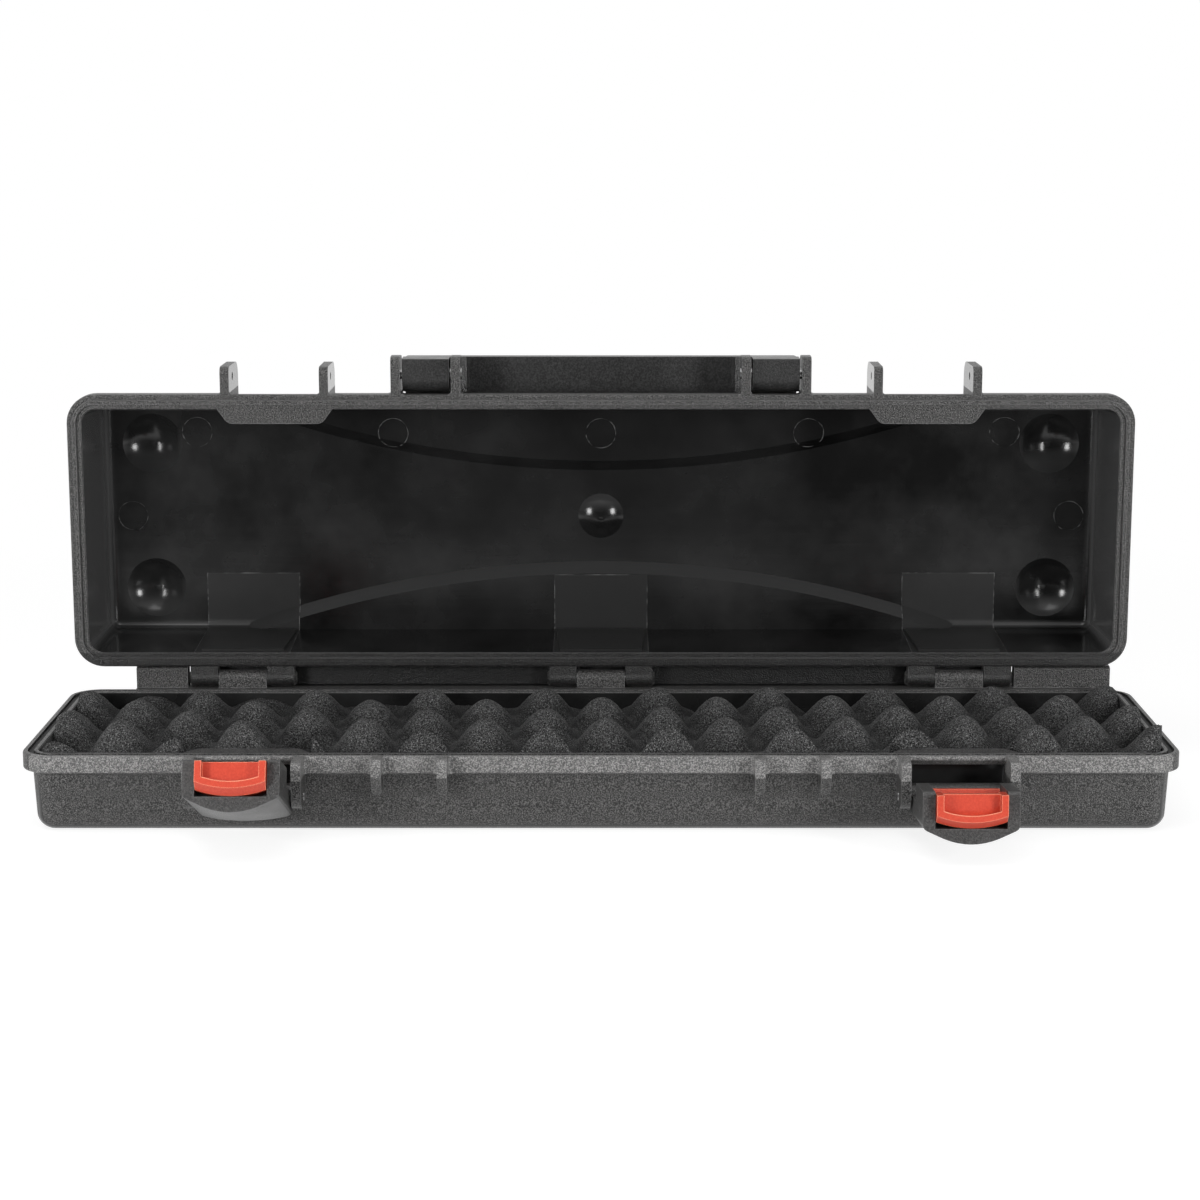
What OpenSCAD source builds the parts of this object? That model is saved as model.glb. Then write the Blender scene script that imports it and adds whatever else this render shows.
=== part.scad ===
// Hard case for a shotgun microphone, lying open on its shallow shell.
// The deep shell stands upright on three pinned hinges and carries a folding handle.
// Two over-centre latches with sprung red triggers hang open in front.
// Millimetres. X runs along the case, -Y is the latch side, +Z is up.
// The origin is the middle of the face the shallow shell rests on.
// Both shells are drawn rim up, in the plane z = 0, and then turned into place.

/* [Case] */
// Length over the rims
case_l = 400; // [390:1:420]
// Width over the rims
case_w = 104; // [100:1:116]
// Corner radius of the rims
corner_r = 11; // [10.5:0.5:14]
// Outside depth of the shallow shell
base_h = 28; // [28:1:34]
// Outside depth of the deep shell, without its feet
lid_h = 41.6; // [40:0.4:50]
// Wall thickness
wall_t = 2.2; // [2:0.1:2.6]
// Floor thickness
floor_t = 2.6; // [2.2:0.1:3]
// Mould draft of the walls, in degrees
draft = 3; // [2:0.5:4]
// Outside radius between wall and floor
edge_r = 5.8; // [4:0.2:6]

/* [Rim] */
// How far the rim flange stands out from the wall
flange_out = 3.4; // [3:0.1:4]
// Height of the rim flange
flange_h = 6.2; // [5.6:0.2:7]
// Fillet under the rim flange
flange_fillet = 1.7; // [1:0.1:2]
// Rounding of the rim's outer edges
rim_edge_r = 0.8; // [0.4:0.1:1]
// Width of the lip outside the seal groove
lip_t = 1.7; // [1.5:0.1:1.9]
// Width of the seal groove
groove_w = 2.3; // [2.2:0.1:2.5]
// Depth of the seal groove
groove_d = 2; // [1.8:0.1:2.2]
// Height of the tongue that presses on the seal
tongue_h = 1; // [0.8:0.1:1.1]
// Gap between the tongue and each side of the groove
tongue_clear = 0.45; // [0.4:0.05:0.6]
// Gap between the seal and each side of the groove
seal_clear = 0.2; // [0.1:0.05:0.4]
// Gap between the two rims when the case is shut
rim_gap = 0.25; // [0.2:0.05:0.4]

/* [Hinges] */
// Distance of the outer hinges from the ends of the case
hinge_inset = 63.5; // [63:0.5:75]
// Width of the middle knuckle of each hinge
knuckle_mid = 18.2; // [14:0.2:20]
// Width of the two end knuckles of each hinge
knuckle_end = 11; // [9:0.5:12]
// Gap between knuckles
knuckle_gap = 0.3; // [0.2:0.1:0.6]
// Outside radius of the knuckles
knuckle_r = 3.1; // [2.9:0.1:3.3]
// Distance of the hinge axis behind the rims
hinge_out = 4.9; // [4.8:0.1:5.4]
// Height of the hinge axis above the shallow shell's rim
hinge_up = 3.2; // [3.1:0.1:3.5]
// Radius of the hinge pins
hinge_pin_r = 1.25; // [1:0.05:1.5]
// Length of the stop block outside the left hinge
stop_left = 19.5; // [15:0.5:34]
// Length of the stop block outside the right hinge
stop_right = 36.5; // [15:0.5:37]
// Thickness of the guard wall behind the hinges
guard_t = 1.4; // [1.2:0.1:1.8]

/* [Latches] */
// Distance of each latch from the end of the case
latch_inset = 78; // [70:1:88]
// Width of a latch lever
lever_w = 32.2; // [28:0.2:34]
// Gap between a lever and each ear
lever_side_gap = 0.7; // [0.4:0.1:1]
// Depth of the lever's pivot below the shallow rim
latch_pivot_d = 13.6; // [13:0.1:14]
// Distance of the pivot in front of the rim
latch_pivot_out = 1.5; // [1.3:0.1:2]
// Radius of the latch pins
latch_pin_r = 1.5; // [1.2:0.05:1.7]
// Thickness of the latch ears
latch_ear_t = 3.4; // [3:0.1:3.8]
// How far the latch ears stand out from the rims
latch_ear_out = 10.3; // [9:0.1:12]
// Height of the deep shell's latch ears
keeper_ear_h = 26; // [20:0.5:28]
// Depth of the shallow shell's latch ears
pivot_ear_h = 16.8; // [16.6:0.1:18]
// Thickness of the ledge that the lever hooks over
keeper_t = 2.3; // [1.8:0.1:2.6]
// Length of a lever beyond its pin
lever_l = 36; // [34:0.5:37]
// How far the hook reaches in behind the rim's edge
jaw_reach = 5.6; // [5:0.1:6]
// Thickness of the crowned end over the pivot line, at its middle
crown_end = 10.4; // [10:0.1:11]
// Same, at the pivot
crown_root = 8.3; // [7.8:0.1:9]
// Drop of the crown from the middle to the edges, at the end
crown_sag = 4.2; // [2:0.1:4.4]
// Width of the slot in the lever that holds the trigger
slot_w = 24; // [21:0.1:25]
// How far the trigger stands out of the lever's end
trigger_proud = 2.8; // [1.5:0.1:3.2]
// Depth of the finger recess in the trigger
trigger_recess = 3.1; // [2:0.1:3.6]
// Wall thickness of the trigger
trigger_t = 2.3; // [1.8:0.1:2.5]
// Distance of the trigger's pin from the lever's pin
trigger_pin_u = 26; // [25:0.5:27]
// Radius of the trigger's pin
trigger_pin_r = 1; // [0.8:0.05:1.2]
// Depth of the pockets in the shallow shell between its latch ears
base_pocket_d = 12; // [10:0.5:13]

/* [Handle] */
// Middle of each handle arm from the middle of the case
handle_x = 65.5; // [60:0.5:70]
// Width of each handle arm
handle_arm_w = 17.6; // [16:0.2:19]
// Gap between an arm and each ear
handle_side_gap = 0.7; // [0.4:0.1:1]
// Thickness of the handle ears
handle_ear_t = 3.5; // [3:0.1:4]
// Distance of the handle's axis in front of the rim
handle_pivot_out = 7; // [6.5:0.1:8]
// Depth of the handle's axis behind the deep rim
handle_pivot_d = 8; // [7.6:0.1:9]
// Radius of the handle's pins
handle_pin_r = 2; // [1.5:0.1:2.4]
// Near side of the grip, from the deep rim
grip_near = 20.5; // [19:0.5:22]
// Far side of the grip, from the deep rim
grip_far = 40; // [37:0.5:40]
// Rounding of the grip
grip_r = 5.5; // [4:0.5:7]

/* [Deep shell] */
// Middle of the corner feet along the case
foot_x = 174.5; // [168:0.5:176]
// Middle of the corner feet across the case
foot_y = 28.5; // [26:0.5:29]
// Height of the corner feet
foot_h = 4.5; // [3:0.5:5]
// Radius of the domed pocket inside each foot
dome_r = 11.6; // [10:0.2:12]
// Radius of the round boss in the middle of the floor
boss_r = 8.8; // [6:0.2:10]
// Height of that boss
boss_h = 3.2; // [2:0.2:4]
// Radius of the curved edge of the two raised panels
panel_r = 404; // [300:1:500]
// Distance of each raised panel from the middle line
panel_y = 18; // [16:0.5:22]
// Height of the raised panels
panel_h = 4; // [2:0.5:5]
// Radius of the ejector marks
mark_r = 5.7; // [4:0.1:6]
// Width of the raised pads inside the wall behind the hinges
pad_w = 35; // [30:0.5:38]

/* [Foam] */
// Length between foam peaks in a row
foam_px = 42.3; // [36:0.1:46]
// Twice the distance between rows of peaks
foam_py = 42; // [36:0.5:46]
// Height of the foam's peaks above the rim, at the front
foam_peak = 7.3; // [4:0.1:9]
// How much lower the peaks at the back are
foam_fall = 3.8; // [0:0.1:5]
// Depth of the foam's valleys below the rim
foam_valley = 16; // [12:0.5:18]
// Turn of the foam's pattern, in degrees
foam_turn = -1.7; // [-3:0.1:3]
// Gap between foam and shell
foam_gap = 0.5; // [0.4:0.1:1.5]

/* [Pose] */
// How far the deep shell is swung open
open_angle = 90; // [60:5:90]
// How far the left lever is swung open
left_angle = 67; // [45:0.5:94]
// How far the right lever is swung open
right_angle = 84; // [45:0.5:94]

/* [Fits] */
// Radial gap of a pin in the piece that turns on it
run_fit = 0.05; // [0.02:0.01:0.09]
// Radial gap of a pin in the piece that holds it
hold_fit = 0.02; // [0.01:0.01:0.04]
// Gap between a hook and the ledge that it holds
hook_clear = 0.25; // [0.2:0.05:0.4]

/* [Hidden] */
$fn = 64;

front_y = -case_w / 2;
rear_y = case_w / 2;
rim_t = flange_out + wall_t;
groove_in = corner_r - lip_t - groove_w;
groove_out = corner_r - lip_t;
arc_n = 8;
slack = 1;

// Hinges. The guard wall stays clear of the circle that the deep rim swings through.
hinge_x = case_l / 2 - hinge_inset;
hinge_xs = [-hinge_x, 0, hinge_x];
hinge_y = rear_y + hinge_out;
hinge_w = knuckle_mid + 2 * knuckle_end + 2 * knuckle_gap;
knuckle_bevel = 0.9;
leaf_root = rear_y - 2;
stop_x = hinge_x + hinge_w / 2 + 0.5;
stop_front = 2.6;
stop_top = hinge_out - 0.05;
swing_r = norm([hinge_out, flange_h + rim_gap - hinge_up]);
guard_top = 0.66 * (swing_r + 0.25);
guard_out = 0.75 * (swing_r + 0.25);

// Latches. Lever sizes are measured from its pin: u along the arm, w outwards.
latch_x = case_l / 2 - latch_inset;
latch_gap = lever_w + 2 * lever_side_gap;
latch_ear_x = latch_gap / 2 + latch_ear_t / 2;
lever_front_clear = 0.5;
barrel_r = flange_out + latch_pivot_out - 0.4;
jaw_u = latch_pivot_d + rim_gap + keeper_t + hook_clear;
lever_u = lever_l;
lever_in = latch_pivot_out - lever_front_clear;
jaw_in = latch_pivot_out + jaw_reach;
slot_u = barrel_r - 0.1;
slot_out = 5.2;
crown_root_sag = 1.7;
lever_corner_r = 2.4;
trigger_w = slot_w - 0.5;
trigger_out = 5;
trigger_rim_out = 2.7;
trigger_waist_out = 3.2;
trigger_in = jaw_in - 0.7;
trigger_u = lever_u + trigger_proud;
head_u = lever_u - 6;
waist_u = head_u - 8;
claw_u = jaw_u + 0.2;
claw_in = jaw_in - 1.7;
web_u = trigger_u - trigger_recess;
trigger_web = 2;
trigger_back = 2;
spring_l = 8;
trigger_arc_r = 34;
pocket_back = 2;
pocket_in = jaw_reach + 3.4;
keeper_pocket_d = norm([trigger_u, trigger_in]) - latch_pivot_d - rim_gap + 0.8;
pocket_lip = 1.4;
pocket_roof = groove_d + 1.4;
block_in = pocket_in + pocket_back;
block_wide = latch_gap / 2 + 4.7;
block_narrow = latch_gap / 2 + 0.8;
block_r = 4;
ear_edge_r = 2.4;

// Handle
handle_gap = handle_arm_w + 2 * handle_side_gap;
handle_ear_xs = [
    handle_x - handle_gap / 2 - handle_ear_t / 2,
    handle_x + handle_gap / 2 + handle_ear_t / 2
];
arm_r = handle_pivot_out - 0.3;
grip_out = handle_pivot_out + 5.2;
grip_tip_out = grip_out - 0.9;
grip_in = 2.5;
arm_edge_r = 1.2;
rib_out = 6;
rib_h = 13.2;

// Deep shell
floor_in = -lid_h + floor_t;
panel_step = 1.05 * panel_h;
panel_end_x = 150;
panel_wall_y = case_w / 2 - rim_t - 1;
recess_y = case_w / 2 - flange_out - lid_h * tan(draft) - edge_r;
dome_d = floor_t + foot_h - 1.9;
dome_ball_r = (dome_r * dome_r + dome_d * dome_d) / (2 * dome_d);
boss_ball_r = (boss_r * boss_r + boss_h * boss_h) / (2 * boss_h);
mark_d = 0.4;
pad_t = 0.8;
pad_top = 2.5;
pad_foot = lid_h - floor_t - edge_r;
mark_y = -33;
mark_xs = [80.5, 157];
end_mark_x = 183;

// ---------------------------------------------------------------- outlines

function arc(c, r, a0, a1, n = arc_n) =
    [for (i = [0:n]) c + r * [cos(a0 + (a1 - a0) * i / n), sin(a0 + (a1 - a0) * i / n)]];

// Distance of the outer and inner wall faces from the corner's axis, at height z
function outer_x(z) =
    corner_r - flange_out - max(0, -z - flange_h - flange_fillet) * tan(draft);
function inner_x(z) = corner_r - rim_t + z * tan(draft);

// Fillet of radius r between a wall with the mould's draft and a floor at height z
function floor_fillet(wall_x, z, r, a0, a1) =
    arc([wall_x - r * cos(draft), z + r], r, a0, a1);

// Section of a shell's wall, from the corner's axis outwards, with a given rim
function shell_outline(h, rim) =
    let (
        z_in = -h + floor_t,
        r_out = min(edge_r, outer_x(-h) - 0.1),
        r_in = min(edge_r - wall_t, inner_x(z_in) - 0.1),
        lift = 1 - sin(draft)
    )
    concat(
        arc([corner_r - rim_edge_r, -rim_edge_r], rim_edge_r, 90, 0, 4),
        arc([corner_r - rim_edge_r, rim_edge_r - flange_h], rim_edge_r, 0, -90, 4),
        arc([corner_r - flange_out + flange_fillet, -flange_h - flange_fillet],
            flange_fillet, 90, 180, 4),
        floor_fillet(outer_x(-h + r_out * lift), -h, r_out, -draft, -90),
        [[0, -h], [0, z_in]],
        floor_fillet(inner_x(z_in + r_in * lift), z_in, r_in, -90, -draft),
        [[corner_r - rim_t, -0.4], [corner_r - rim_t + 0.4, 0]],
        rim
    );

tongue_rim = [
    [groove_in + tongue_clear, 0],
    [groove_in + tongue_clear, tongue_h],
    [groove_out - tongue_clear, tongue_h],
    [groove_out - tongue_clear, 0]
];

// Carries a section round a rounded rectangle
module around(l, w, r) {
    for (k = [0:3]) {
        run = (k % 2 == 0) ? w - 2 * r : l - 2 * r;
        reach = (k % 2 == 0) ? l / 2 - r : w / 2 - r;
        rotate(90 * k) translate([reach, 0, 0]) {
            rotate([90, 0, 0]) linear_extrude(run, center = true) children();
            translate([0, run / 2, 0]) rotate_extrude(angle = 90) children();
        }
    }
}

// Sets a flat shape, drawn as (y, z), upright across X
module across(x, t) {
    translate([x - t / 2, 0, 0]) rotate([90, 0, 90]) linear_extrude(t) children();
}

module pin_hole(x, y, z, r, length) {
    translate([x, y, z]) rotate([0, 90, 0]) cylinder(r = r, h = length, center = true);
}

module tub(h, rim) {
    around(case_l, case_w, corner_r) polygon(shell_outline(h, rim));
    translate([corner_r - case_l / 2, corner_r - case_w / 2, -h])
        cube([case_l - 2 * corner_r, case_w - 2 * corner_r, floor_t]);
}

// ---------------------------------------------------------------- ears and ribs

// Side view of an ear below the rim, rounded at its two free corners
module ear_side(out, h, r) {
    translate([front_y, 0]) {
        polygon(concat(
            [[flange_out + 1.4, 0]],
            arc([-out + ear_edge_r, -ear_edge_r], ear_edge_r, 90, 180, 4),
            arc([-out + r, -h + r], r, 180, 270),
            [[flange_out + 1.4, -h]]
        ));
    }
}

// Fillets where an ear of thickness t meets the rim flange
module ear_root(x, t, r) {
    translate([x, front_y, -flange_h]) linear_extrude(flange_h - 0.4)
        difference() {
            translate([-t / 2 - r, -r]) square([t + 2 * r, r + slack]);
            for (s = [-1, 1]) translate([s * (t / 2 + r), -r]) circle(r);
        }
}

// Rib of thickness t in front of the rim, round at its lower end
module rim_rib(x, t) {
    intersection() {
        across(x, t) translate([front_y, 0]) polygon(concat(
            [[flange_out + 1, 0]],
            arc([ear_edge_r - rib_out, -ear_edge_r], ear_edge_r, 90, 180, 4),
            [[-rib_out, -flange_h], [-flange_out / 2, -rib_h], [flange_out + 1, -rib_h]]
        ));
        translate([x, front_y + flange_out + 1, 0]) rotate([90, 0, 0])
            linear_extrude(flange_out + 1 + rib_out) {
                translate([0, t / 2 - rib_h]) circle(t / 2);
                translate([-t / 2, t / 2 - rib_h]) square([t, rib_h - t / 2]);
            }
    }
    ear_root(x, t, 1.6);
}

module latch_ears(h, r) {
    for (s = [-1, 1], e = [-1, 1]) {
        across(s * latch_x + e * latch_ear_x, latch_ear_t) ear_side(latch_ear_out, h, r);
        ear_root(s * latch_x + e * latch_ear_x, latch_ear_t, 1.2);
    }
}

// Block around a latch pocket of depth d, with rounded inner corners
module pocket_blocks(d) {
    side_a = atan2(block_in - rim_t, block_narrow - block_wide);
    cut = block_r * tan((180 - side_a) / 2);
    right = arc([block_narrow - cut, block_in - block_r], block_r, side_a - 90, 90);
    left = arc([cut - block_narrow, block_in - block_r], block_r, 90, 270 - side_a);
    for (s = [-1, 1]) translate([s * latch_x, front_y, -d - pocket_back])
        linear_extrude(d + pocket_back)
            polygon(concat(
                [[-block_wide, rim_t - 1], [block_wide, rim_t - 1], [block_wide, rim_t]],
                right, left, [[-block_wide, rim_t]]
            ));
}

// Pocket of depth d between two latch ears, under a ledge with a thin front edge
module pocket_cuts(d, lip, roof) {
    slope = roof - lip + 0.2;
    for (s = [-1, 1]) across(s * latch_x, latch_gap) translate([front_y, 0])
        polygon([
            [-slack, -lip], [0, -lip], [slope, -roof], [pocket_in, -roof],
            [pocket_in, -d], [-slack, -d]
        ]);
}

// ---------------------------------------------------------------- shallow shell

module knuckle_base() {
    polygon([
        [leaf_root, -flange_h], [rear_y, -flange_h],
        [hinge_y + knuckle_r * cos(30), hinge_up - knuckle_r * sin(30)],
        [hinge_y, hinge_up], [hinge_y - knuckle_r, hinge_up],
        [hinge_y - knuckle_r, -0.1], [leaf_root, -0.1]
    ]);
    translate([hinge_y, hinge_up]) circle(knuckle_r);
}

// Block that the deep shell's rim flange lands on when the case is open
module stop_block() {
    start = atan2(sqrt(pow(stop_top, 2) - pow(stop_front, 2)), -stop_front);
    polygon(concat(
        [[leaf_root, -0.15], [leaf_root, -flange_h], [rear_y + flange_h / 2, -flange_h],
         [hinge_y + knuckle_r, -flange_h / 2], [hinge_y + knuckle_r, hinge_up + stop_top]],
        arc([hinge_y, hinge_up], stop_top, 90, start),
        [[hinge_y - stop_front, -0.15]]
    ));
}

// Guard wall behind the hinges, on a ledge of the rim
module hinge_guard() {
    far = hinge_y + guard_out + guard_t;
    polygon([
        [leaf_root, -flange_h], [rear_y + flange_h / 2, -flange_h], [far, -flange_h / 2],
        [far, hinge_up + guard_top], [far - guard_t, hinge_up + guard_top],
        [far - guard_t, -0.15], [leaf_root, -0.15]
    ]);
}

module shallow_shell() {
    color([0.06, 0.06, 0.065])
    translate([0, 0, base_h])
    difference() {
        union() {
            tub(base_h, []);
            pocket_blocks(base_pocket_d);
            latch_ears(pivot_ear_h, 5);
            for (s = [-1, 1], x = handle_ear_xs) rim_rib(s * x, handle_ear_t);
            for (x = hinge_xs) across(x, knuckle_mid) knuckle_base();
            across(-stop_x - stop_left / 2, stop_left) stop_block();
            across(stop_x + stop_right / 2, stop_right) stop_block();
            across(0, 2 * stop_x) hinge_guard();
        }
        around(case_l, case_w, corner_r)
            translate([groove_in, -groove_d]) square([groove_w, groove_d + slack]);
        pocket_cuts(base_pocket_d, pocket_lip, pocket_roof);
        for (s = [-1, 1])
            pin_hole(s * latch_x, front_y - latch_pivot_out, -latch_pivot_d,
                latch_pin_r + hold_fit, latch_gap + 4 * latch_ear_t);
        for (x = hinge_xs)
            pin_hole(x, hinge_y, hinge_up, hinge_pin_r + hold_fit, hinge_w);
    }
}

module seal_ring() {
    seal_h = groove_d - (tongue_h - rim_gap) - 0.15;
    color([0.03, 0.03, 0.03])
    translate([0, 0, base_h])
    around(case_l, case_w, corner_r)
        translate([groove_in + seal_clear, -groove_d])
            square([groove_w - 2 * seal_clear, seal_h]);
}

// ---------------------------------------------------------------- foam

// Egg-crate surface: peaks and valleys like the squares of a chessboard
function foam_z(x, y) =
    let (
        xr = x * cos(foam_turn) - y * sin(foam_turn) - 0.8,
        yr = x * sin(foam_turn) + y * cos(foam_turn) + case_w / 4,
        wave = cos(360 * xr / foam_px) * cos(360 * yr / foam_py),
        peak = foam_peak - foam_fall * (0.25 + y / case_w) / 0.6
    )
    -foam_valley + (peak + foam_valley) * pow((1 + wave) / 2, 0.85);

module foam_surface() {
    nx = 100;
    ny = 26;
    lx = case_l - 2 * rim_t;
    ly = case_w - 2 * rim_t;
    deep = -base_h - slack;
    top = [for (j = [0:ny], i = [0:nx])
        let (x = lx * (i / nx - 0.5), y = ly * (j / ny - 0.5)) [x, y, foam_z(x, y)]];
    foot = [for (j = [-1, 1], i = [-1, 1]) [i * lx / 2, j * ly / 2, deep]];
    row = nx + 1;
    base = len(top);
    faces = concat(
        [for (j = [0:ny - 1], i = [0:nx - 1]) [j * row + i, (j + 1) * row + i, j * row + i + 1]],
        [for (j = [0:ny - 1], i = [0:nx - 1])
            [j * row + i + 1, (j + 1) * row + i, (j + 1) * row + i + 1]],
        [concat([for (i = [0:nx]) i], [base + 1, base])],
        [concat([for (i = [nx:-1:0]) ny * row + i], [base + 2, base + 3])],
        [concat([for (j = [ny:-1:0]) j * row], [base, base + 2])],
        [concat([for (j = [0:ny]) j * row + nx], [base + 3, base + 1])],
        [[base, base + 1, base + 3, base + 2]]
    );
    polyhedron(concat(top, foot), faces, convexity = 8);
}

module foam_insert() {
    z_low = -base_h + floor_t + 0.2;
    r = min(edge_r - wall_t, inner_x(z_low) - 0.1 - foam_gap);
    high = foam_peak + foam_fall;
    side = concat(
        [[0, z_low]],
        floor_fillet(inner_x(z_low) - foam_gap, z_low, r, -90, -draft),
        [[inner_x(0) - foam_gap, 0], [inner_x(0) - foam_gap, high], [0, high]]
    );
    color([0.16, 0.16, 0.165])
    translate([0, 0, base_h])
    difference() {
        intersection() {
            foam_surface();
            union() {
                around(case_l, case_w, corner_r) polygon(side);
                translate([corner_r - case_l / 2, corner_r - case_w / 2, z_low])
                    cube([case_l - 2 * corner_r, case_w - 2 * corner_r, high - z_low]);
            }
        }
        for (s = [-1, 1])
            translate([s * latch_x - block_wide - foam_gap, front_y, -base_h])
                cube([2 * (block_wide + foam_gap), block_in + foam_gap, base_h + high + slack]);
    }
}

// ---------------------------------------------------------------- deep shell

// Region inside the curved edge of a raised panel, from z up, on side s
module panel_disc(s, r, z, h, y_far) {
    intersection() {
        translate([0, s * (panel_y + panel_r), z])
            cylinder(r1 = r, r2 = r - 1.05 * h, h = h, $fn = 360);
        translate([-panel_end_x, s > 0 ? panel_y - slack : -y_far, z])
            cube([2 * panel_end_x, y_far - panel_y + slack, h]);
    }
}

module knuckle_lid() {
    polygon([
        [leaf_root, -rim_edge_r], [hinge_y - 1, -rim_gap],
        [hinge_y, rim_gap - hinge_up - knuckle_r], [leaf_root, rim_gap - hinge_up - knuckle_r]
    ]);
    translate([hinge_y, rim_gap - hinge_up]) circle(knuckle_r);
}

// End knuckle on side s of the hinge at x, with a bevelled outer end
module knuckle_end_at(x, s) {
    near = knuckle_mid / 2 + knuckle_gap;
    straight = knuckle_end - knuckle_bevel;
    across(x + s * (near + straight / 2), straight) knuckle_lid();
    translate([x + s * (near + straight), hinge_y, rim_gap - hinge_up])
        rotate([0, s * 90, 0])
            cylinder(r1 = knuckle_r, r2 = knuckle_r - knuckle_bevel, h = knuckle_bevel);
}

// Pads inside the hinge side's wall, parallel to it
module hinge_pads() {
    top = pad_w / 2 - 2;
    for (x = hinge_xs) translate([x, rear_y - rim_t, 0]) rotate([-draft, 0, 0])
        translate([0, 0.5, 0]) rotate([90, 0, 0]) linear_extrude(pad_t + 0.5)
            polygon([[-top, -pad_top], [-pad_w / 2, -pad_foot],
                [pad_w / 2, -pad_foot], [top, -pad_top]]);
}

module lid_floor_marks() {
    for (x = mark_xs, s = [-1, 1])
        translate([s * x, mark_y, x < panel_end_x - mark_r ? floor_in + panel_h - mark_d : floor_in - mark_d])
            cylinder(r = mark_r, h = slack);
    translate([0, mark_y, floor_in + panel_h - mark_d]) cylinder(r = mark_r, h = slack);
    for (s = [-1, 1])
        translate([s * end_mark_x, 0, floor_in - mark_d]) cylinder(r = mark_r, h = slack);
}

module deep_shell_rim_up() {
    difference() {
        union() {
            tub(lid_h, tongue_rim);
            hinge_pads();
            pocket_blocks(keeper_pocket_d);
            latch_ears(keeper_ear_h, 6);
            for (s = [-1, 1], x = handle_ear_xs) {
                across(s * x, handle_ear_t) handle_ear();
                ear_root(s * x, handle_ear_t, 1.2);
            }
            for (x = hinge_xs, s = [-1, 1]) knuckle_end_at(x, s);
            for (s = [-1, 1]) panel_disc(s, panel_r, floor_in, panel_h, panel_wall_y);
            for (sx = [-1, 1], sy = [-1, 1]) translate([sx * foot_x, sy * foot_y, -lid_h - foot_h])
                cylinder(r1 = dome_r + 1, r2 = dome_r + 2.4, h = foot_h + 1);
            intersection() {
                translate([0, 0, floor_in + boss_h - boss_ball_r]) sphere(boss_ball_r);
                translate([-boss_r - 1, -boss_r - 1, floor_in - 0.5])
                    cube([2 * boss_r + 2, 2 * boss_r + 2, boss_h + 1]);
            }
        }
        pocket_cuts(keeper_pocket_d, keeper_t, keeper_t);
        for (s = [-1, 1])
            panel_disc(s, panel_r - 0.4 + slack, -lid_h - slack, panel_h + slack, recess_y);
        for (sx = [-1, 1], sy = [-1, 1])
            translate([sx * foot_x, sy * foot_y, floor_in - dome_d + dome_ball_r])
                sphere(dome_ball_r);
        lid_floor_marks();
        for (s = [-1, 1]) {
            pin_hole(s * latch_x, front_y - 5.9, -10, 1.5, latch_gap + 4 * latch_ear_t);
            pin_hole(s * handle_x, front_y - handle_pivot_out, -handle_pivot_d,
                handle_pin_r + hold_fit, handle_gap + 4 * handle_ear_t);
        }
        for (x = hinge_xs)
            pin_hole(x, hinge_y, rim_gap - hinge_up, hinge_pin_r + run_fit, hinge_w + 1);
    }
}

module handle_ear() {
    translate([front_y, 0]) {
        far = handle_pivot_out + arm_r + 0.3;
        polygon(concat(
            [[flange_out + 1.4, 0]],
            arc([ear_edge_r - far, -ear_edge_r], ear_edge_r, 90, 180, 4),
            [[-far, -handle_pivot_d], [-handle_pivot_out, -handle_pivot_d - arm_r],
             [flange_out + 1.4, -handle_pivot_d - arm_r - 2]]
        ));
        translate([-handle_pivot_out, -handle_pivot_d]) circle(arm_r + 0.3);
    }
}

// Turns a piece drawn rim up into its place on the opened case
module on_open_lid() {
    translate([0, hinge_y, base_h + hinge_up]) rotate([-open_angle, 0, 0])
        translate([0, -hinge_y, rim_gap - hinge_up]) mirror([0, 0, 1]) children();
}

module deep_shell() {
    color([0.06, 0.06, 0.065]) on_open_lid() deep_shell_rim_up();
}

// ---------------------------------------------------------------- handle

module handle_plan() {
    half = handle_x + handle_arm_w / 2;
    inner = handle_x - handle_arm_w / 2;
    low = handle_pivot_d - arm_r;
    corner = 7;
    difference() {
        polygon(concat(
            [[-half, -low], [half, -low]],
            arc([half - corner, corner - grip_far], corner, 0, -90),
            arc([corner - half, corner - grip_far], corner, -90, -180)
        ));
        polygon(concat(
            [[-inner, slack - low], [inner, slack - low]],
            arc([inner - corner, corner - grip_near], corner, 0, -90),
            arc([corner - inner, corner - grip_near], corner, -90, -180)
        ));
    }
}

module handle_side() {
    low = handle_pivot_d - arm_r;
    translate([front_y, 0]) {
        polygon(concat(
            [[-handle_pivot_out, -low]],
            arc([arm_edge_r - handle_pivot_out - arm_r, -low - arm_edge_r], arm_edge_r,
                90, 180, 4),
            [[-grip_out, -grip_near]],
            arc([grip_r - grip_tip_out, grip_r - grip_far], grip_r, 180, 270),
            arc([grip_in - grip_r, grip_r - grip_far], grip_r, 270, 360),
            [[grip_in, -grip_near - 1], [arm_r - handle_pivot_out, -handle_pivot_d - arm_r],
             [arm_r - handle_pivot_out, -handle_pivot_d]]
        ));
        translate([-handle_pivot_out, -handle_pivot_d]) circle(arm_r);
    }
}

module handle() {
    color([0.05, 0.05, 0.055])
    on_open_lid() difference() {
        intersection() {
            across(0, 2 * (handle_x + handle_arm_w)) handle_side();
            translate([0, front_y + grip_in + slack, 0]) rotate([90, 0, 0])
                linear_extrude(grip_out + grip_in + 2 * slack) handle_plan();
        }
        for (s = [-1, 1])
            pin_hole(s * handle_x, front_y - handle_pivot_out, -handle_pivot_d,
                handle_pin_r + run_fit, handle_arm_w + 2);
    }
}

// ---------------------------------------------------------------- latches

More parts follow.
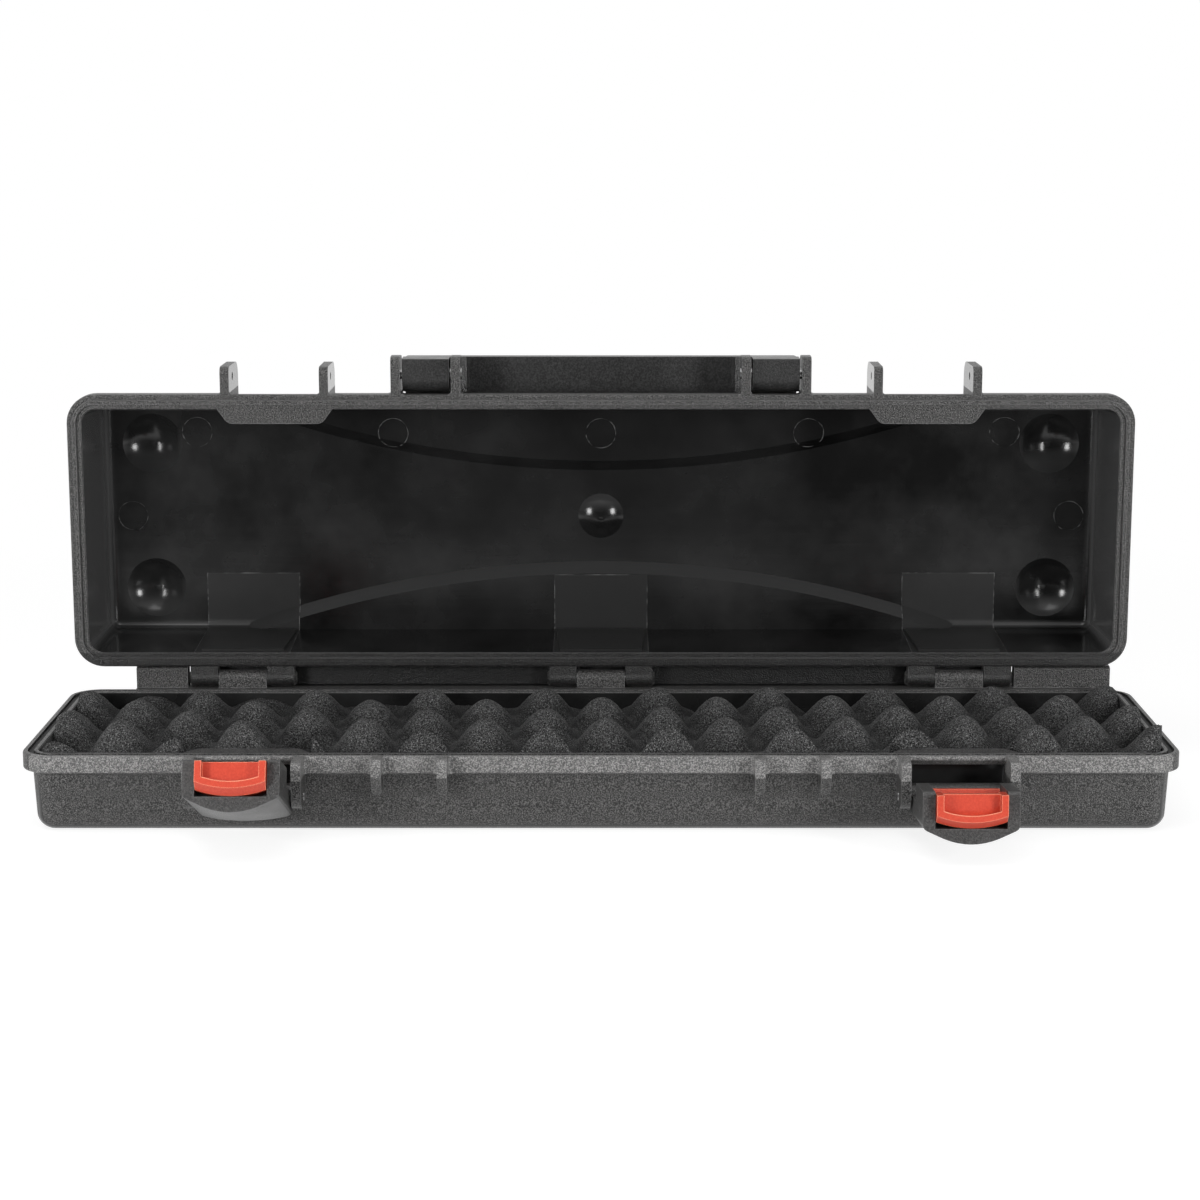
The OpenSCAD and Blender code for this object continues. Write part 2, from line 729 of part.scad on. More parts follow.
// Outline of the lever across its width: crowned outside, rounded corners
function crown_outline(mid, sag) =
    let (half = lever_w / 2, r = lever_corner_r, edge = mid - sag, n = 12)
    concat(
        [[-half, jaw_in + slack]],
        arc([r - half, r - edge], r, 180, 270, 4),
        [for (i = [1:n - 1]) let (a = 2 * i / n - 1)
            [a * (half - r), -edge - sag * (1 - a * a)]],
        arc([half - r, r - edge], r, 270, 360, 4),
        [[half, jaw_in + slack]]
    );

module lever_side() {
    lean = crown_root - barrel_r;
    circle(barrel_r);
    translate([-lean, 0]) circle(barrel_r);
    translate([-lean, -barrel_r]) square([lean, 2 * barrel_r]);
    polygon([
        [-crown_end - slack, 0], [lever_in, 0], [lever_in, jaw_u], [jaw_in - 0.8, jaw_u],
        [jaw_in, jaw_u + 0.8], [jaw_in, lever_u - 0.8], [jaw_in - 0.8, lever_u],
        [-crown_end - slack, lever_u]
    ]);
}

module latch_lever_closed() {
    difference() {
        intersection() {
            across(0, lever_w + 2) lever_side();
            hull() {
                translate([0, 0, -barrel_r - slack]) linear_extrude(slack)
                    polygon(crown_outline(crown_root, crown_root_sag));
                translate([0, 0, lever_u - 0.01]) linear_extrude(slack)
                    polygon(crown_outline(crown_end, crown_sag));
            }
        }
        translate([-slot_w / 2, -slot_out, slot_u])
            cube([slot_w, slot_out + jaw_in + slack, lever_u]);
        pin_hole(0, 0, 0, latch_pin_r + run_fit, lever_w + 2);
        pin_hole(0, 0, trigger_pin_u, trigger_pin_r + hold_fit, lever_w + 2);
    }
}

// Body of the trigger's crowned back, turned about a far axis, less an inset
module trigger_back_body(inset) {
    function at(w) = trigger_arc_r - trigger_out + w - inset;
    translate([0, trigger_arc_r - trigger_out, 0]) rotate_extrude($fn = 180)
        polygon([
            [0, claw_u - slack], [at(trigger_waist_out), claw_u - slack],
            [at(trigger_waist_out), waist_u], [at(trigger_out), head_u],
            [at(trigger_out), lever_u], [at(trigger_rim_out), trigger_u],
            [at(trigger_rim_out), trigger_u + slack], [0, trigger_u + slack]
        ]);
}

// Side view of the trigger: head, waist with the pin, and claw
module trigger_side() {
    polygon([
        [-trigger_out - slack, claw_u], [latch_pivot_out, claw_u], [claw_in, claw_u + 0.6],
        [claw_in, claw_u + 2.6], [2.5, claw_u + 4], [2.5, head_u - 2],
        [trigger_in - 1, head_u], [trigger_in, head_u + 1], [trigger_in, trigger_u],
        [-trigger_out - slack, trigger_u]
    ]);
}

module latch_trigger_closed() {
    inner_w = trigger_w - 2 * trigger_t;
    difference() {
        intersection() {
            trigger_back_body(0);
            across(0, trigger_w) trigger_side();
        }
        intersection() {
            trigger_back_body(trigger_t);
            translate([-inner_w / 2, -trigger_out, web_u])
                cube([inner_w, 3 * jaw_in, trigger_recess + slack]);
        }
        intersection() {
            trigger_back_body(trigger_back);
            translate([-inner_w / 2, -trigger_out, claw_u + 4])
                cube([inner_w, 3 * jaw_in, web_u - trigger_web - claw_u - 4]);
        }
        pin_hole(0, 0, trigger_pin_u, trigger_pin_r + run_fit, slot_w);
    }
}

// Places a piece drawn for the shut latch on its swung-open lever
module on_lever(s, angle) {
    translate([s * latch_x, front_y - latch_pivot_out, base_h - latch_pivot_d])
        rotate([angle, 0, 0]) children();
}

module latch_lever(s, angle) {
    color([0.1, 0.1, 0.105]) on_lever(s, angle) latch_lever_closed();
}

module latch_trigger(s, angle) {
    color([0.93, 0.2, 0.1]) on_lever(s, angle) latch_trigger_closed();
}

module trigger_pin(s, angle) {
    color("silver") on_lever(s, angle)
        pin_hole(0, 0, trigger_pin_u, trigger_pin_r, lever_w - 0.6);
}

module trigger_spring(s, angle) {
    color("gainsboro") on_lever(s, angle) difference() {
        pin_hole(0, 0, trigger_pin_u, trigger_pin_r + 0.6, spring_l);
        pin_hole(0, 0, trigger_pin_u, trigger_pin_r + 0.15, 2 * spring_l);
    }
}

// ---------------------------------------------------------------- pins

module hinge_pin(x) {
    color("silver") translate([0, 0, base_h])
        pin_hole(x, hinge_y, hinge_up, hinge_pin_r, hinge_w - 0.4);
}

module latch_pin(s) {
    color("silver") translate([0, 0, base_h])
        pin_hole(s * latch_x, front_y - latch_pivot_out, -latch_pivot_d,
            latch_pin_r, latch_gap + 2 * latch_ear_t + 0.6);
}

module handle_pin(s) {
    color("silver") on_open_lid()
        pin_hole(s * handle_x, front_y - handle_pivot_out, -handle_pivot_d,
            handle_pin_r, handle_gap + 2 * handle_ear_t + 0.4);
}

// ---------------------------------------------------------------- pieces

shallow_shell();
foam_insert();
seal_ring();
hinge_pin(-hinge_x);  // hinge_pin_left
hinge_pin(0);  // hinge_pin_center
hinge_pin(hinge_x);  // hinge_pin_right
latch_pin(-1);  // latch_pin_left
latch_pin(1);  // latch_pin_right
deep_shell();
handle();
handle_pin(-1);  // handle_pin_left
handle_pin(1);  // handle_pin_right
latch_lever(-1, left_angle);  // latch_lever_left
latch_lever(1, right_angle);  // latch_lever_right
latch_trigger(-1, left_angle);  // latch_trigger_left
latch_trigger(1, right_angle);  // latch_trigger_right
trigger_pin(-1, left_angle);  // trigger_pin_left
trigger_pin(1, right_angle);  // trigger_pin_right
trigger_spring(-1, left_angle);  // trigger_spring_left
trigger_spring(1, right_angle);  // trigger_spring_right
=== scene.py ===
"""Looks of the open microphone case: grained black shells, egg-crate foam, red triggers, studio light."""

import math

import bpy
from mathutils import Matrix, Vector, noise


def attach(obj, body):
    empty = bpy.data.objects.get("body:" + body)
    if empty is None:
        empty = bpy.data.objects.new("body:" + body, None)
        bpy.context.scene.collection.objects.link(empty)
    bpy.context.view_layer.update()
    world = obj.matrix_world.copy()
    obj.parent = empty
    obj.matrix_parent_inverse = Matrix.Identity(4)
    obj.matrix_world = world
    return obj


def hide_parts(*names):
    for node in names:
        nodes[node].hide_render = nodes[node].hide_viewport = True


MM = 0.001

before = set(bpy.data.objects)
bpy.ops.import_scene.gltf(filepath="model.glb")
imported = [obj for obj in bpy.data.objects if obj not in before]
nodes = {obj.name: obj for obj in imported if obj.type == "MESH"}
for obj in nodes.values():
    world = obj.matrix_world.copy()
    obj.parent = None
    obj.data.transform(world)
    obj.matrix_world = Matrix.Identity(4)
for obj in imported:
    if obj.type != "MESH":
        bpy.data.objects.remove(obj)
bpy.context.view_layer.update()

# ------------------------------------------------------------------ sizes, in millimetres

CASE_L = 400.0
CASE_W = 104.0
CORNER_R = 11.0
RIM_T = 5.6
BASE_H = 28.0
FLOOR_T = 2.6
DRAFT = math.tan(math.radians(3.0))
LATCH_X = 122.0
BLOCK_WIDE = 21.5
BLOCK_IN = 11.0
HINGE_X = 136.5
HINGE_Y = 56.9
HINGE_Z = 31.2
HINGE_BACK = 2.95  # from the hinge axis forward to the deep shell's rim plane
HINGE_OUT = 4.9  # from the hinge axis up to the deep shell's lower edge
RIM_PLANE_Y = HINGE_Y - HINGE_BACK
LID_LOW = HINGE_Z + HINGE_OUT
LID_MIDDLE = LID_LOW + CASE_W / 2
LID_FLOOR_Y = 92.95
FLOOR_HOLLOW = 6.5  # how far the floor's hollows may reach behind it
FLOOR_NEAR = 6.0  # how far in front of the floor an ejector mark is still drawn
MASK_EDGE = 0.25  # how far the gloss reaches past the inner faces, inside the wall
FLANGE_H = 6.2
PATCH_R = 18.2  # half the width of a satin patch
PATCH_TOP = 22.7  # from the deep shell's middle down to the top of the patches
PATCH_LINE = 0.2
MARK_R = 5.7
MARK_LINE = 0.16  # half the width of an ejector mark's rim
MARK_UP = 33.0  # from the deep shell's middle up to the upper row of marks
MARK_XS = (80.5, 157.0)
END_MARK_X = 183.0
GUARD_X = 157.0
GUARD_Y = 58.0

FOAM_GAP = 0.5  # between the foam and the shell's walls and blocks
FOAM_RAISE = 0.6  # between the foam and the shell's floor
FOAM_TUCK = 2.2  # how far the foam's lower edge draws in, over the height FOAM_TUCK_H
FOAM_TUCK_H = 3.0
FOAM_TURN = math.radians(-1.7)
FOAM_SHIFT = 0.8
FOAM_PITCH_X = 42.3
FOAM_PITCH_Y = 42.0
FOAM_FRONT_ROW = 0.25  # the front row of peaks, as a share of the width before the middle
FOAM_PEAK = 7.3  # height of the front row's peaks over the rim
FOAM_FALL = 3.8  # how much lower the peaks are at FOAM_SPAN of the width behind the front row
FOAM_SPAN = 0.6
FOAM_VALLEY = -16.0
FOAM_ROUNDNESS = 0.85
FOAM_DARK_BELOW = 14.0  # painted shade: the foam darkens from FOAM_LIGHT_ABOVE the rim to this far below it
FOAM_LIGHT_ABOVE = 2.0

CAMERA_AT = (-0.35, -935, 253)

# ------------------------------------------------------------------ tones and view

STOP_SHADE = 0.82
DAYLIGHT = 0.36
CAMERA_LENS = 79.77
CAMERA_DOWN = 10.93  # degrees below level

# ------------------------------------------------------------------ node helpers


class Tree:
    """Short calls for building a node tree."""

    def __init__(self, tree):
        self.tree = tree
        self.tree.nodes.clear()

    def node(self, kind, inputs=None, **props):
        made = self.tree.nodes.new(kind)
        for key, value in props.items():
            setattr(made, key, value)
        for key, value in (inputs or {}).items():
            self.put(made.inputs[key], value)
        return made

    def put(self, socket, value):
        if isinstance(value, bpy.types.NodeSocket):
            self.tree.links.new(value, socket)
        else:
            socket.default_value = value

    def math(self, operation, *values):
        made = self.node("ShaderNodeMath", operation=operation)
        for index, value in enumerate(values):
            self.put(made.inputs[index], value)
        return made.outputs[0]

    def mix(self, factor, a, b):
        """A number between a and b."""
        made = self.node("ShaderNodeMix", data_type="FLOAT")
        for index, value in ((0, factor), (2, a), (3, b)):
            self.put(made.inputs[index], value)
        return made.outputs[0]

    def tint(self, factor, a, b):
        """A colour between a and b."""
        made = self.node("ShaderNodeMix", data_type="RGBA")
        for index, value in ((0, factor), (6, a), (7, b)):
            self.put(made.inputs[index], value)
        return made.outputs[2]

    def noise(self, scale, detail=2.0, rough=0.5, vector=None):
        inputs = {"Scale": scale, "Detail": detail, "Roughness": rough}
        if vector is not None:
            inputs["Vector"] = vector
        return self.node("ShaderNodeTexNoise", inputs).outputs[0]

    def cells(self, scale, vector=None):
        inputs = {"Scale": scale}
        if vector is not None:
            inputs["Vector"] = vector
        return self.node("ShaderNodeTexVoronoi", inputs).outputs[0]

    def steps(self, value, low, high, a=0.0, b=1.0):
        """Maps low..high to a..b, clamped."""
        made = self.node("ShaderNodeMapRange", clamp=True)
        for index, number in enumerate((value, low, high, a, b)):
            self.put(made.inputs[index], number)
        return made.outputs[0]

    def between(self, value, low, high):
        return self.math(
            "MULTIPLY",
            self.math("GREATER_THAN", value, low),
            self.math("LESS_THAN", value, high),
        )

    def join(self, kind, *parts):
        """Links shaders, and then a factor, into a node of this kind."""
        made = self.tree.nodes.new(kind)
        shaders = [part for part in parts if isinstance(part, bpy.types.Node)]
        first = 1 if kind == "ShaderNodeMixShader" else 0
        for index, part in enumerate(shaders):
            self.tree.links.new(part.outputs[0], made.inputs[first + index])
        if len(parts) > len(shaders):
            self.put(made.inputs[0], parts[-1])
        return made


def grey(value, warm=0.0):
    return (value * (1 + warm), value, value * (1 - warm), 1.0)


def new_material(name):
    material = bpy.data.materials.new(name)
    material.use_nodes = True
    return material, Tree(material.node_tree)


def finish_material(tree, color, roughness, height=None, depth=0.2 * MM, strength=1.0, **shader):
    inputs = {"Base Color": color, "Roughness": roughness}
    inputs.update(shader)
    if height is not None:
        bump = tree.node(
            "ShaderNodeBump",
            {"Height": height, "Distance": depth, "Strength": strength},
        )
        inputs["Normal"] = bump.outputs[0]
    surface = tree.node("ShaderNodeBsdfPrincipled", inputs)
    output = tree.node("ShaderNodeOutputMaterial")
    tree.tree.links.new(surface.outputs[0], output.inputs[0])


def own_place(tree):
    """A point's object coordinates."""
    return tree.node("ShaderNodeTexCoord").outputs["Object"]


def axes_of(tree, vector):
    """The x, y and z of a vector."""
    return tree.node("ShaderNodeSeparateXYZ", {0: vector}).outputs


def grain(tree, place):
    """Fine moulded grain: small raised cells with a little unevenness."""
    cell = tree.cells(1900.0, place)
    fine = tree.noise(3200.0, 1.0, 0.5, place)
    return tree.math("ADD", tree.math("MULTIPLY", cell, -0.9), tree.math("MULTIPLY", fine, 0.5))


# ------------------------------------------------------------------ materials


def shell_material(name, masks):
    """Black moulding. masks(tree, x, y, z) names its areas: gloss inside, satin patches,
    edge lines, the flange with its painted highlight, shade in deep gaps and smooth ungrained faces."""
    material, tree = new_material(name)
    place = own_place(tree)
    x, y, z = axes_of(tree, place)
    areas = masks(tree, x, y, z)
    gloss = areas["gloss"]
    cloud = tree.noise(16.0, 5.0, 0.62, place)
    smudge = tree.noise(45.0, 4.0, 0.65, place)
    speck = tree.steps(tree.noise(2300.0, 1.0, 0.6, place), 0.42, 0.66)
    outer = tree.tint(speck, grey(0.006), grey(0.13, 0.02))
    # painted highlight: the flange is drawn in lighter tones
    outer = tree.tint(areas["flange"], outer, tree.tint(speck, grey(0.08), grey(0.32, 0.02)))
    # painted highlight along sharp edges
    outer = tree.tint(edge_highlight(tree), outer, grey(0.16))
    outer = tree.tint(areas["shade"], outer, grey(0.002))
    # painted sheen: cloudy lighter patches on the glossy inside, stronger towards the ends
    aside = tree.steps(tree.math("ABSOLUTE", x), 0.0, 150 * MM, 0.35, 1.0)
    painted_sheen = tree.math("MULTIPLY", tree.steps(cloud, 0.35, 0.68), aside)
    normal = axes_of(tree, facing(tree))
    # painted light: faces tilted upward are drawn lighter, as if lit from above
    lit_slope = tree.math("MULTIPLY", tree.steps(normal[2], 0.12, 0.5), tree.steps(normal[2], 0.95, 0.8))
    # painted light: inner walls facing sideways are drawn lighter
    lit_end_wall = tree.steps(tree.math("ABSOLUTE", normal[0]), 0.6, 0.9)
    inner = tree.tint(painted_sheen, grey(0.003), grey(0.034))
    inner = tree.tint(lit_slope, inner, grey(0.04))
    inner = tree.tint(lit_end_wall, inner, grey(0.09))
    inner = tree.tint(areas["satin"], inner, tree.tint(painted_sheen, grey(0.016), grey(0.03)))
    inner = tree.tint(areas["edge"], inner, grey(0.16))
    color = tree.tint(gloss, outer, inner)
    rough_in = tree.mix(areas["satin"], tree.steps(smudge, 0.3, 0.75, 0.15, 0.23), 0.34)
    rough_out = tree.mix(areas["smooth"], tree.steps(cloud, 0.3, 0.7, 0.36, 0.46), 0.12)
    rough = tree.mix(gloss, rough_out, rough_in)
    scratch = tree.noise(
        9.0, 4.0, 0.7,
        tree.node("ShaderNodeMapping", {0: place, "Scale": (1.0, 6.0, 40.0)}).outputs[0],
    )
    height = tree.mix(areas["smooth"], grain(tree, place), 0.0)
    height = tree.mix(gloss, height, tree.math("MULTIPLY", scratch, 0.2))
    finish_material(tree, color, rough, height, 0.2 * MM, 0.9)
    return material


def facing(tree):
    """The surface's direction, as the texture coordinate node gives it."""
    return tree.node("ShaderNodeTexCoord").outputs["Normal"]


def edge_highlight(tree):
    """1 along sharp edges, where a highlight is painted, and 0 on flat faces."""
    round_normal = tree.node("ShaderNodeBevel", {"Radius": 0.5 * MM}, samples=4).outputs[0]
    flat_normal = tree.node("ShaderNodeNewGeometry").outputs["Normal"]
    turned = tree.node(
        "ShaderNodeVectorMath", {0: round_normal, 1: flat_normal}, operation="DOT_PRODUCT"
    )
    return tree.steps(turned.outputs["Value"], 0.97, 0.85)


def ring_line(tree, x, z, center_x, center_z, radius):
    """1 on a thin ring, which is the rim of an ejector mark."""
    along = tree.math("POWER", tree.math("SUBTRACT", x, center_x * MM), 2.0)
    across = tree.math("POWER", tree.math("SUBTRACT", z, center_z * MM), 2.0)
    away = tree.math("SQRT", tree.math("ADD", along, across))
    return tree.between(away, (radius - MARK_LINE) * MM, (radius + MARK_LINE) * MM)


def lid_masks(tree, x, y, z):
    """Glossy inside of the deep shell, satin patches by its hinges, their edges, the flange's faint
    painted highlight.
    """
    half_x = (CASE_L / 2 - RIM_T + MASK_EDGE) * MM
    low = (LID_LOW + RIM_T - MASK_EDGE) * MM
    high = (LID_LOW + CASE_W - RIM_T + MASK_EDGE) * MM
    gloss = tree.math("MULTIPLY", tree.between(x, -half_x, half_x), tree.between(z, low, high))
    inner_y = tree.between(y, (RIM_PLANE_Y + 0.4) * MM, (LID_FLOOR_Y + FLOOR_HOLLOW) * MM)
    gloss = tree.math("MULTIPLY", gloss, inner_y)
    normal = axes_of(tree, facing(tree))
    looks_in = tree.math("LESS_THAN", normal[1], 0.02)
    gloss = tree.math("MULTIPLY", gloss, looks_in)
    top = (LID_MIDDLE - PATCH_TOP) * MM
    off = None
    for center in (-HINGE_X, 0.0, HINGE_X):
        one = tree.math("ABSOLUTE", tree.math("SUBTRACT", x, center * MM))
        off = one if off is None else tree.math("MINIMUM", off, one)
    from_top = tree.math("ADD", tree.math("SUBTRACT", z, top), PATCH_R * MM)
    reach = tree.math("MAXIMUM", off, from_top)
    patch = tree.math("MULTIPLY", tree.math("LESS_THAN", reach, PATCH_R * MM), gloss)
    on_line = tree.between(reach, (PATCH_R - PATCH_LINE) * MM, PATCH_R * MM)
    edge = tree.math("MULTIPLY", on_line, gloss)
    marks = [(0.0, LID_MIDDLE + MARK_UP)]
    marks += [(side * mark, LID_MIDDLE + MARK_UP) for side in (-1, 1) for mark in MARK_XS]
    marks += [(side * END_MARK_X, LID_MIDDLE) for side in (-1, 1)]
    rings = 0.0
    for mark_x, mark_z in marks:
        rings = tree.math("MAXIMUM", rings, ring_line(tree, x, z, mark_x, mark_z, MARK_R))
    on_floor = tree.math("GREATER_THAN", y, (LID_FLOOR_Y - FLOOR_NEAR) * MM)
    rings = tree.math("MULTIPLY", tree.math("MULTIPLY", rings, on_floor), gloss)
    broken = tree.steps(tree.noise(60.0, 2.0), 0.45, 0.6)
    edge = tree.math("MULTIPLY", tree.math("MAXIMUM", edge, rings), broken)
    # area of the flange's painted highlight, very weak on this shell
    flange = tree.math("LESS_THAN", y, (RIM_PLANE_Y + FLANGE_H) * MM)
    ear_side = tree.math("GREATER_THAN", tree.math("ABSOLUTE", normal[0]), 0.9)
    above_rim = tree.math("GREATER_THAN", z, (LID_LOW + CASE_W + 0.6) * MM)
    rim_face = tree.math(
        "MULTIPLY",
        tree.math("LESS_THAN", normal[1], -0.6),
        tree.math("LESS_THAN", z, (LID_LOW + RIM_T) * MM),
    )
    return {
        "gloss": gloss,
        "satin": patch,
        "edge": edge,
        "flange": tree.math("MULTIPLY", flange, 0.02),
        "shade": tree.math("MULTIPLY", rim_face, 0.75),
        "smooth": tree.math("MULTIPLY", ear_side, above_rim),
    }


def base_masks(tree, x, y, z):
    """Glossy inside of the shallow shell and the painted highlight on its flange. It has no satin
    patches.
    """
    half_x = (CASE_L / 2 - RIM_T + MASK_EDGE) * MM
    half_y = (CASE_W / 2 - RIM_T + MASK_EDGE) * MM
    gloss = tree.math("MULTIPLY", tree.between(x, -half_x, half_x), tree.between(y, -half_y, half_y))
    gloss = tree.math("MULTIPLY", gloss, tree.between(z, 1.2 * MM, (BASE_H - 0.3) * MM))
    # area of the painted highlight on the flange's upper front
    flange = tree.math(
        "MULTIPLY",
        tree.math("GREATER_THAN", z, (BASE_H - FLANGE_H) * MM),
        tree.math("LESS_THAN", y, -CASE_W / 2 * MM + 3 * MM),
    )
    behind_hinges = tree.math("GREATER_THAN", y, GUARD_Y * MM)
    return {
        "gloss": gloss,
        "satin": 0.0,
        "edge": 0.0,
        "flange": flange,
        "shade": tree.math(
            "MULTIPLY",
            behind_hinges,
            tree.mix(tree.between(x, -GUARD_X * MM, GUARD_X * MM), STOP_SHADE, 1.0),
        ),
        "smooth": 0.0,
    }


def foam_material():
    """Open-cell foam: dark pores between light struts, painted glints, painted shade deeper in the
    valleys, and a soft sheen.
    """
    material, tree = new_material("foam_charcoal")
    place = own_place(tree)
    pores = tree.cells(1600.0, place)
    fluff = tree.noise(2900.0, 2.0, 0.6, place)
    speck = tree.math("ADD", tree.math("MULTIPLY", pores, 0.6), tree.math("MULTIPLY", fluff, 0.7))
    shade = tree.steps(speck, 0.5, 0.92)
    color = tree.tint(shade, grey(0.009), grey(0.095))
    # painted glints: small light specks
    glint = tree.steps(tree.noise(3000.0, 0.0, 0.5, place), 0.64, 0.74)
    color = tree.tint(glint, color, grey(0.24))
    height = axes_of(tree, place)[2]
    # painted shade: the foam darkens towards its valleys
    lit = tree.steps(height, (BASE_H - FOAM_DARK_BELOW) * MM, (BASE_H + FOAM_LIGHT_ABOVE) * MM)
    color = tree.tint(tree.math("POWER", lit, 1.3), grey(0.002), color)
    finish_material(
        tree, color, 0.95, speck, 0.3 * MM, 0.8,
        **{"Sheen Weight": 0.04, "Sheen Roughness": 0.5, "Specular IOR Level": 0.15},
    )
    return material


def plain_plastic(name, dark, light, rough, grain_depth, rim=None, **shader):
    """Moulded plastic between two tones. rim is the tone of the highlight painted along its sharp edges.
    """
    material, tree = new_material(name)
    place = own_place(tree)
    cloud = tree.noise(60.0, 3.0, 0.6, place)
    speck = tree.steps(tree.noise(1500.0, 1.0, 0.5, place), 0.35, 0.72)
    mixed = tree.math("ADD", tree.math("MULTIPLY", speck, 0.7), tree.math("MULTIPLY", cloud, 0.3))
    color = tree.tint(mixed, dark, light)
    if rim is not None:
        color = tree.tint(edge_highlight(tree), color, rim)
    finish_material(
        tree, color, tree.steps(cloud, 0.3, 0.7, rough - 0.05, rough + 0.05),
        grain(tree, place), grain_depth * MM, 0.8, **shader,
    )
    return material


def steel_material():
    material, tree = new_material("pin_steel")
    lines = tree.node("ShaderNodeMapping", {0: own_place(tree), "Scale": (60.0, 1.0, 1.0)})
    turned = tree.noise(30.0, 3.0, 0.6, lines.outputs[0])
    color = tree.tint(turned, grey(0.45), grey(0.62))
    finish_material(
        tree, color, tree.steps(turned, 0.3, 0.7, 0.22, 0.38), turned, 0.02 * MM, 0.5,
        Metallic=1.0,
    )
    return material


def set_material(name, material):
    mesh = nodes[name].data
    mesh.materials.clear()
    mesh.materials.append(material)


# ------------------------------------------------------------------ foam


def foam_height(x, y):
    """Egg-crate surface over the rim's height, at a place in millimetres."""
    along = x * math.cos(FOAM_TURN) - y * math.sin(FOAM_TURN) - FOAM_SHIFT
    across = x * math.sin(FOAM_TURN) + y * math.cos(FOAM_TURN) + CASE_W * FOAM_FRONT_ROW
    wave = math.cos(2 * math.pi * along / FOAM_PITCH_X) * math.cos(2 * math.pi * across / FOAM_PITCH_Y)
    peak = FOAM_PEAK - FOAM_FALL * (FOAM_FRONT_ROW + y / CASE_W) / FOAM_SPAN
    return FOAM_VALLEY + (peak - FOAM_VALLEY) * ((1 + wave) / 2) ** FOAM_ROUNDNESS


def foam_edge(x, wall, notch):
    """How far in from the rim's front edge the foam starts, at x."""
    if notch and abs(abs(x) - LATCH_X) < BLOCK_WIDE + FOAM_GAP:
        return BLOCK_IN + FOAM_GAP
    into = abs(x) - (CASE_L / 2 - CORNER_R)
    radius = CORNER_R - wall
    if into <= 0:
        return wall
    return CORNER_R - math.sqrt(max(0.0, radius * radius - into * into))


def make_foam():
    """Fine heightfield of the foam with its sides, in place of the plain solid."""
    columns, rows, skirt = 340, 78, 5
    wall = RIM_T + FOAM_GAP
    half = CASE_L / 2 - wall
    low = FLOOR_T + FOAM_RAISE
    verts = []
    for i in range(columns + 1):
        x = half * (2 * i / columns - 1)
        front = -CASE_W / 2 + foam_edge(x, wall, True)
        back = CASE_W / 2 - foam_edge(x, wall, False)
        for j in range(rows + 1):
            y = front + (back - front) * j / rows
            rough = noise.noise(Vector((x, y, 0.0)) * 0.9) * 0.35
            soft = noise.noise(Vector((x, y, 7.0)) * 0.09) * 0.9
            verts.append((x, y, BASE_H + foam_height(x, y) + rough + soft))
    row = rows + 1
    faces = [
        (i * row + j, (i + 1) * row + j, (i + 1) * row + j + 1, i * row + j + 1)
        for i in range(columns)
        for j in range(rows)
    ]
    ring = (
        [i * row for i in range(columns + 1)]
        + [columns * row + j for j in range(1, row)]
        + [i * row + rows for i in range(columns - 1, -1, -1)]
        + [j for j in range(rows - 1, 0, -1)]
    )
    last = ring
    for k in range(1, skirt + 1):
        start = len(verts)
        for index in ring:
            x, y, z = verts[index]
            height = z + (low - z) * k / skirt
            inset = (BASE_H - height) * DRAFT if height < BASE_H else 0.0
            inset += FOAM_TUCK * max(0.0, 1 - (height - low) / FOAM_TUCK_H)
            scale_x = 1 - inset / half
            scale_y = 1 - inset / (CASE_W / 2 - wall)
            verts.append((x * scale_x, y * scale_y, height))
        now = list(range(start, len(verts)))
        count = len(ring)
        faces += [
            (last[n], now[n], now[(n + 1) % count], last[(n + 1) % count]) for n in range(count)
        ]
        last = now
    faces.append(tuple(reversed(last)))
    mesh = bpy.data.meshes.new("foam")
    mesh.from_pydata([Vector(v) * MM for v in verts], [], faces)
    mesh.polygons.foreach_set("use_smooth", [True] * len(mesh.polygons))
    mesh.materials.append(foam_material())
    foam = bpy.data.objects.new("egg_crate_foam", mesh)
    bpy.context.scene.collection.objects.link(foam)
    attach(foam, "shallow")
    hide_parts("foam_insert")


# ------------------------------------------------------------------ stage


def make_floor():
    """White table. It glows for camera and mirror rays, and keeps a faint contact shadow."""
    bpy.ops.mesh.primitive_plane_add(size=12.0, location=(0, 0, 0))
    floor = bpy.context.object
    floor.name = "floor"
    material, tree = new_material("floor_white")
    place = own_place(tree)
    far = tree.node("ShaderNodeVectorMath", {0: place}, operation="LENGTH").outputs["Value"]
    away = tree.steps(far, 0.3, 0.62)
    diffuse = tree.node("ShaderNodeBsdfDiffuse", {"Color": grey(0.35)})
    glow = tree.node("ShaderNodeEmission", {"Color": grey(1.0), "Strength": 0.8})
    white = tree.node("ShaderNodeEmission", {"Color": grey(1.0), "Strength": 1.0})
    both = tree.join("ShaderNodeAddShader", diffuse, glow)
    shown = tree.join("ShaderNodeMixShader", both, white, away)
    front = tree.steps(axes_of(tree, place)[1], -0.34, -0.16, 0.1, 1.0)
    mirrored = tree.node("ShaderNodeEmission", {"Color": grey(1.0), "Strength": front})
    rays = tree.node("ShaderNodeLightPath").outputs
    plain = tree.node("ShaderNodeBsdfDiffuse", {"Color": grey(0.8)})
    look = tree.join("ShaderNodeMixShader", plain, mirrored, rays["Is Glossy Ray"])
    seen = tree.math("MAXIMUM", rays["Is Camera Ray"], rays["Is Transmission Ray"])
    look = tree.join("ShaderNodeMixShader", look, shown, seen)
    tree.join("ShaderNodeOutputMaterial", look)
    floor.data.materials.append(material)


